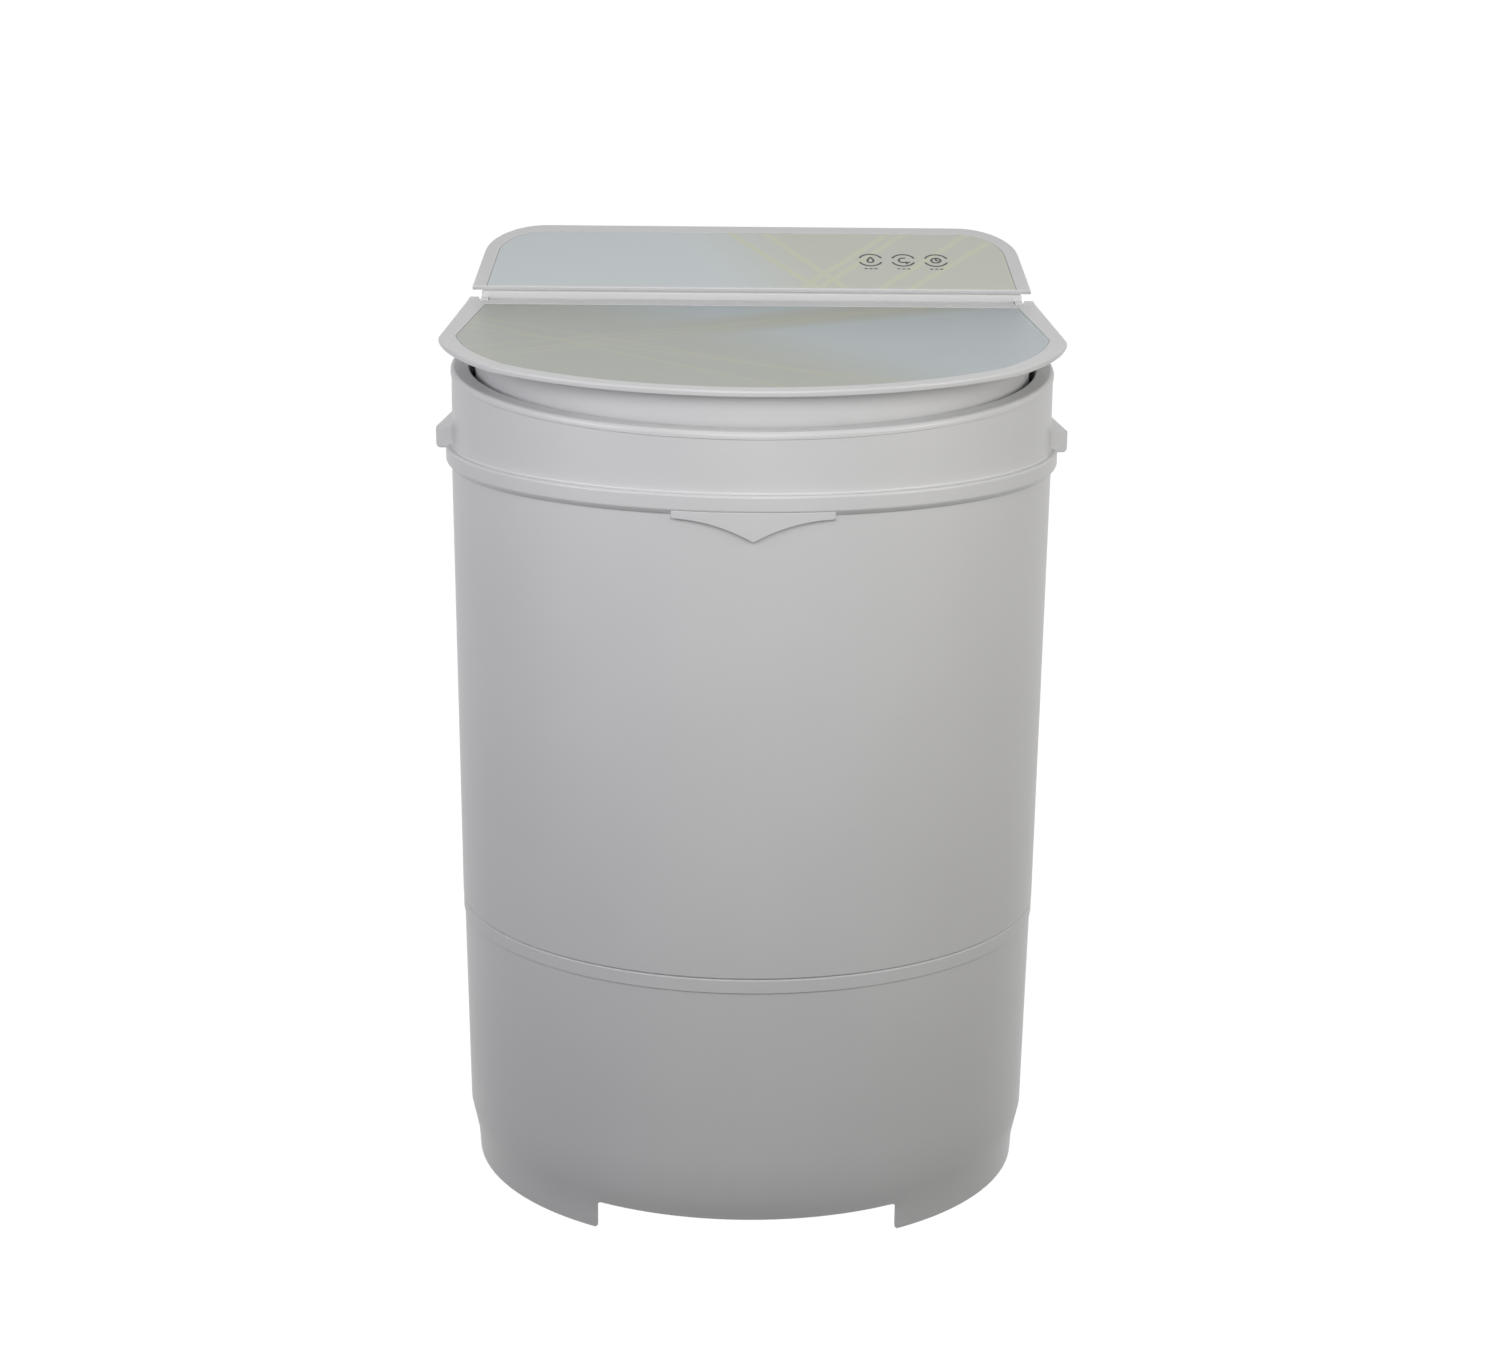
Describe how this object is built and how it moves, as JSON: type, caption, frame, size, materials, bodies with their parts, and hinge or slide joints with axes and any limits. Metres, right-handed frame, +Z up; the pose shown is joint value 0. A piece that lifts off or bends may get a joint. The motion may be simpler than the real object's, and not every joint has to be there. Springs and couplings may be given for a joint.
{
  "type": "mini washing machine",
  "caption": "Compact round top-loading washing machine with a tilted rim, a hinged lid, a slanted touch panel, a vaned pulsator and a belt drive",
  "frame": {"origin": "on the floor, under the axis of the wash tub, midway across the two carrying lugs", "axes": "+Z up along the tub's axis, -Y to the front where the user stands, +X to the right as seen from the front"},
  "size_m": [0.4322, 0.421, 0.6448],
  "materials": {
    "cabinet_white": "gloss",
    "tub_white": "satin",
    "panel_print": "gloss",
    "pulsator_blue": "gloss",
    "black_rubber": "matte",
    "hose_grey": "matte",
    "grey_plastic": "matte",
    "steel": "satin",
    "motor_paint": "satin",
    "cast_alloy": "matte",
    "bronze": "matte",
    "winding_copper": "satin",
    "board_green": "matte",
    "key_contact": "matte",
    "cable_black": "matte",
    "nylon_white": "matte"
  },
  "bodies": {
    "cabinet": {"base_shell": "cabinet_white", "base_deck": "tub_white", "deck_screws": "steel", "rubber_feet": "black_rubber", "body_shell": "cabinet_white", "wash_tub": "tub_white", "rim_seal": "black_rubber", "rim_ring": "cabinet_white", "overflow_cover": "tub_white", "bearing_housing": "cast_alloy", "bearing_screws": "steel", "upper_bush": "bronze", "lower_bush": "bronze", "shaft_seal": "black_rubber", "drain_hose": "hose_grey", "hose_clamps": "steel", "drain_outlet": "grey_plastic", "outlet_nut": "grey_plastic", "motor_can": "motor_paint", "motor_end_cap": "cast_alloy", "motor_stator": "winding_copper", "motor_bearings": "steel", "motor_grommets": "black_rubber", "motor_bolts": "steel", "motor_nuts": "steel", "run_capacitor": "cast_alloy", "drive_belt": "black_rubber", "cord_gland": "grey_plastic", "wiring_harness": "cable_black", "control_housing": "cabinet_white", "housing_screws": "steel", "control_fascia": "cabinet_white", "control_decor": "panel_print", "control_board": "board_green", "touch_pads": "key_contact"},
    "agitator": {"pulsator": "pulsator_blue", "pulsator_screw": "steel", "pulsator_cap": "pulsator_blue", "drive_shaft": "steel", "thrust_washer": "nylon_white", "shaft_circlip": "steel", "driven_pulley": "grey_plastic", "pulley_nut": "steel"},
    "motor_spindle": {"motor_rotor": "steel", "motor_pulley": "cast_alloy", "pulley_set_screw": "steel"},
    "lid": {"lid_frame": "cabinet_white", "lid_decor": "panel_print", "lid_skirt": "cabinet_white", "hinge_pins": "steel"}
  },
  "joints": [
    {"name": "lid_hinge", "type": "hinge", "parent": "cabinet", "child": "lid", "pos_m": [0, 0.1045, 0.59624], "axis": [-1, 0, 0], "range_deg": [0, 100]},
    {"name": "pulsator_spin", "type": "hinge", "parent": "cabinet", "child": "agitator", "pos_m": [0, 0, 0.15], "axis": [0, 0, 1], "continuous": true},
    {"name": "motor_spin", "type": "hinge", "parent": "cabinet", "child": "motor_spindle", "pos_m": [0.118, 0, 0.08], "axis": [0, 0, 1], "continuous": true}
  ],
  "couplings": [
    {"joint": "motor_spin", "follows": "pulsator_spin", "ratio": 4.7143}
  ]
}
